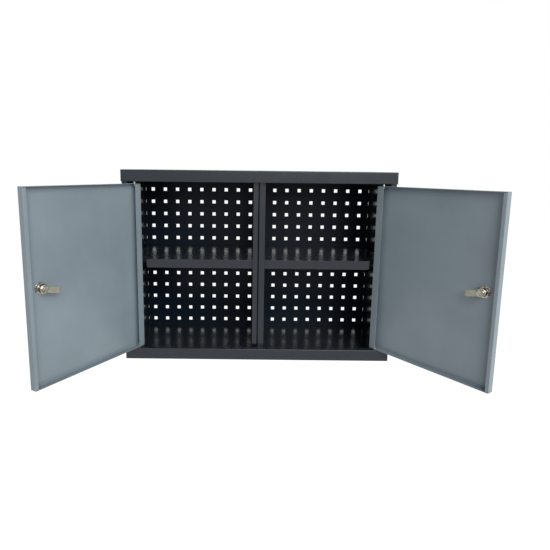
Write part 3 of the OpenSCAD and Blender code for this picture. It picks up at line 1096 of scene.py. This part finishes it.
def skin(bm, rings, closed=False):
    pairs = list(zip(rings, rings[1:]))
    if closed:
        pairs.append((rings[-1], rings[0]))
    for low, high in pairs:
        for k in range(len(low)):
            n = (k + 1) % len(low)
            bm.faces.new((low[k], low[n], high[n], high[k]))


def fillBetween(bm, outer, inner):
    # A flat face with a hole in it
    edges = []
    for ring in (outer, inner):
        for k in range(len(ring)):
            pair = (ring[k], ring[(k + 1) % len(ring)])
            edges.append(bm.edges.get(pair) or bm.edges.new(pair))
    bmesh.ops.triangle_fill(bm, edges=edges, use_beauty=True)


def rectangle(bm, wide, high, height):
    x, y = wide / 2, high / 2
    return [bm.verts.new((*corner, height)) for corner in ((x, y), (-x, y), (-x, -y), (x, -y))]


def threadTree():
    # A ridge of diamond section along a spiral
    tree, start, end = newTree(
        "barrelThread",
        [
            ("Radius", "Float", 0.0085),
            ("Length", "Float", 0.018),
            ("Pitch", "Float", 0.0015),
            ("Depth", "Float", 0.0005),
            ("Foot", "Vector", (0, 0, 0)),
            ("Material", "Material", None),
        ],
    )
    nodes, links = tree.nodes, tree.links
    turnsOf = nodes.new("ShaderNodeMath")
    turnsOf.operation = "DIVIDE"
    links.new(start.outputs["Length"], turnsOf.inputs[0])
    links.new(start.outputs["Pitch"], turnsOf.inputs[1])
    spiral = nodes.new("GeometryNodeCurveSpiral")
    spiral.inputs["Resolution"].default_value = lock["threadSteps"]
    links.new(turnsOf.outputs[0], spiral.inputs["Rotations"])
    links.new(start.outputs["Radius"], spiral.inputs["Start Radius"])
    links.new(start.outputs["Radius"], spiral.inputs["End Radius"])
    links.new(start.outputs["Length"], spiral.inputs["Height"])
    ridge = nodes.new("GeometryNodeCurvePrimitiveCircle")
    ridge.inputs["Resolution"].default_value = lock["ridgeSides"]
    links.new(start.outputs["Depth"], ridge.inputs["Radius"])
    sweep = nodes.new("GeometryNodeCurveToMesh")
    sweep.inputs["Fill Caps"].default_value = True
    links.new(spiral.outputs[0], sweep.inputs["Curve"])
    links.new(ridge.outputs[0], sweep.inputs["Profile Curve"])
    lift = nodes.new("GeometryNodeTransform")
    links.new(sweep.outputs[0], lift.inputs["Geometry"])
    links.new(start.outputs["Foot"], lift.inputs["Translation"])
    finishTree(tree, lift.outputs[0], start, end)
    return tree


barrelThread = threadTree()


def barrelPiece(bm):
    # Round head outside, threaded barrel inside, bore with the seat of the plug's head
    out, end, depth, e = lock["skin"], lock["barrelEnd"], lock["threadDepth"], lock["ease"]
    front, seat, bore = out - lock["bezelThick"], lock["plugHead"] + lock["fit"], lock["bore"]
    step = front + lock["plugHeadThick"] + lock["fit"]
    wide, deep = lock["seatEase"]
    core, neck = lock["barrel"] - depth, out + lock["threadNeck"]
    section = [(lock["bezel"] - inset, out - rise) for inset, rise in lock["bezelRound"]]
    section += [(seat + wide, front), (seat, front + deep), (seat, step), (bore, step), (bore, end - e)]
    section += [(bore + e, end), (core - e, end), (core, end - e), (core, neck)]
    section += [(lock["barrel"], neck), (lock["barrel"], out)]
    turned(bm, section, lock["sides"])
    values = {
        "Radius": core / 1000,
        "Length": (end - out - lock["threadShort"]) / 1000,
        "Pitch": lock["threadPitch"] / 1000,
        "Depth": depth / 1000,
        "Foot": mm(0, 0, out + lock["threadStart"]),
        "Material": materials["lock_chrome"],
    }
    ridge = grown("threadRidge", barrelThread, values)
    ridge.data.transform(Matrix.Scale(1000, 4))
    bm.from_mesh(ridge.data)
    bpy.data.objects.remove(ridge)


def washerPiece(bm):
    low, bore = lock["skin"] + lock["skinThick"], lock["barrel"] + lock["washerGap"]
    section = washerSection(bore, lock["washer"], low, low + lock["washerThick"], lock["ease"])
    turned(bm, section, lock["sides"])


def nutPiece(bm):
    # Hexagon with both faces chamfered by a cone, and a chamfered bore
    low = lock["skin"] + lock["skinThick"] + lock["washerThick"]
    high, flats, bore = low + lock["nutThick"], lock["nutFlats"], lock["barrel"] + lock["fit"]
    cone, e = lock["nutChamfer"], lock["nutBoreEase"]
    rings = [hexagon(bm, flats, low, capped=True), hexagon(bm, flats, low + cone, 1)]
    rings += [hexagon(bm, flats, high - cone, -1), hexagon(bm, flats, high, capped=True)]
    rings += [circle(bm, bore + e, high), circle(bm, bore, high - e)]
    rings += [circle(bm, bore, low + e), circle(bm, bore + e, low)]
    skin(bm, rings, closed=True)


def plugPiece(bm):
    # Head with the key slot outside, round body, square for the tongue, bore for the screw
    head, r, e, low = lock["plugHead"], lock["plug"], lock["ease"], lock["skin"] - lock["bezelThick"]
    seat, end = low + lock["plugHeadThick"], lock["tongueStart"]
    top = end + lock["tongueThick"] - lock["fit"]
    floor = end + lock["tongueThick"] - lock["screwLength"] - lock["screwRoom"]
    rings = [circle(bm, head - e, low), circle(bm, head, low + e), circle(bm, head, seat)]
    rings += [circle(bm, r, seat), circle(bm, r, end)]
    skin(bm, rings)
    keyway = [rectangle(bm, lock["keyWide"], lock["keyHigh"], z) for z in (low, low + lock["keyDeep"])]
    skin(bm, keyway)
    bm.faces.new(keyway[1])
    fillBetween(bm, rings[0], keyway[0])
    drive = [rectangle(bm, lock["square"], lock["square"], z) for z in (end, top)]
    skin(bm, drive)
    fillBetween(bm, rings[-1], drive[0])
    bore = [circle(bm, lock["screwShank"] + lock["fit"], z) for z in (top, floor)]
    skin(bm, bore)
    bm.faces.new(bore[1])
    fillBetween(bm, drive[1], bore[0])


def tongueOutline():
    # Round hub, straight arm towards -X, eased corners at the tip
    w, hub, c, reach = lock["tongueWide"] / 2, lock["tongueHub"], lock["tongueCorner"], lock["tongue"]
    meet = math.pi - math.asin(w / hub)
    outline = []
    for k in range(lock["hubSteps"] + 1):
        angle = meet * (2 * k / lock["hubSteps"] - 1)
        outline.append((hub * math.cos(angle), hub * math.sin(angle)))
    for side, begin in ((1, 90), (-1, 180)):
        for k in range(lock["cornerSteps"] + 1):
            angle = math.radians(begin + 90 * k / lock["cornerSteps"])
            outline.append((-reach + c + c * math.cos(angle), side * (w - c) + c * math.sin(angle)))
    turn = math.radians(-lock["droop"])
    c, s = math.cos(turn), math.sin(turn)
    return [(x * c - y * s, x * s + y * c) for x, y in outline]


def tonguePiece(bm):
    # Stamped: rolled over at the outer rim, sharper on the far face
    z, t, rim, broken = lock["tongueStart"], lock["tongueThick"], lock["tongueRim"], lock["tongueBreak"]
    outline = tongueOutline()
    middleX = -lock["tongue"] / 3
    rings = []
    for height, inset in ((0.0, rim), (rim, 0.0), (t - broken, 0.0), (t - rim, rim), (t, broken)):
        ring = []
        for x, y in outline:
            away = inset / math.hypot(x - middleX, y)
            ring.append(bm.verts.new((x - (x - middleX) * away, y - y * away, z + height)))
        rings.append(ring)
    skin(bm, rings)
    side = lock["square"] + 2 * lock["fit"]
    hole = [rectangle(bm, side, side, height) for height in (z, z + t)]
    skin(bm, hole)
    fillBetween(bm, rings[0], hole[0])
    fillBetween(bm, rings[-1], hole[1])


def screwPiece(bm):
    # Low hexagon head with a chamfered, slightly dished face
    low, e = lock["tongueStart"] + lock["tongueThick"], lock["ease"]
    high, flats, shank = low + lock["screwHead"], lock["screwFlats"], lock["screwShank"]
    tip = low - lock["screwLength"]
    rings = [circle(bm, shank - e, tip), circle(bm, shank, tip + e), circle(bm, shank, low)]
    rings += [hexagon(bm, flats, low), hexagon(bm, flats, high - lock["screwChamfer"], -1)]
    rings += [hexagon(bm, flats, high, capped=True)]
    rings += [circle(bm, flats / 2 - inset, high - depth) for inset, depth in lock["screwDish"]]
    skin(bm, rings)
    bm.faces.new(rings[0])
    bm.faces.new(rings[-1])


lockPieces = {
    "barrel": barrelPiece,
    "washer": washerPiece,
    "nut": nutPiece,
    "plug": plugPiece,
    "tongue": tonguePiece,
    "screw": screwPiece,
}
for side, word in ((-1, "left"), (1, "right")):
    for part, draw in lockPieces.items():
        bm = bmesh.new()
        draw(bm)
        node = word + ("_tongue_screw" if part == "screw" else "_lock_" + part)
        solidPiece(word + "Lock" + part.capitalize(), bm, node, lock["sharp"], lockFrame(side))
print("locks built")
